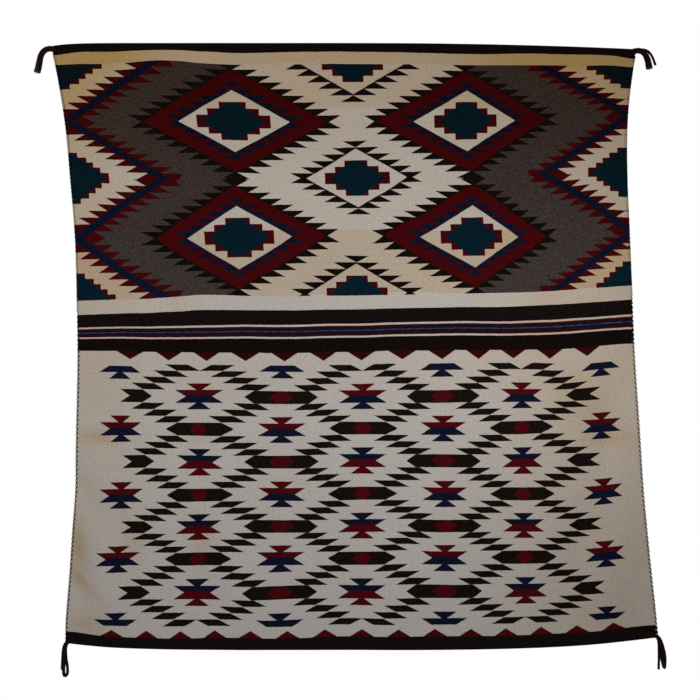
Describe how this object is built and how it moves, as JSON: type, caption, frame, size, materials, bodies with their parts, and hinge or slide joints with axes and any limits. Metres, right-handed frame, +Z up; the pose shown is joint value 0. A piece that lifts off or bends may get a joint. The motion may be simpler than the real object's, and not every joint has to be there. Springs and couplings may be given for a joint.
{
  "type": "serape",
  "caption": "Tapestry-woven wool serape hung by its top edge, with serrate diamonds, zigzags, stripes and a latticed lower field, twined side cords and corner tassels.",
  "frame": {"origin": "middle of the top edge, where the cloth is hung, in the middle of its thickness", "axes": "+Z up, +X to the right seen from the front, the front face towards -Y"},
  "size_m": [1.3255, 0.0213, 1.3243],
  "materials": {
    "woven_wool": "matte weft-faced wool, figured in cream, dark brown, red, navy, teal and heather gray",
    "selvage_yarn": "matte two-ply dark brown wool cord",
    "tassel_yarn": "matte plied dark brown wool cord ends"
  },
  "bodies": {
    "root": {"woven_panel": "woven_wool", "selvage_cord_left": "selvage_yarn", "selvage_cord_right": "selvage_yarn", "corner_tassel_top_left": "tassel_yarn", "corner_tassel_top_right": "tassel_yarn", "corner_tassel_bottom_left": "tassel_yarn", "corner_tassel_bottom_right": "tassel_yarn"}
  },
  "joints": []
}
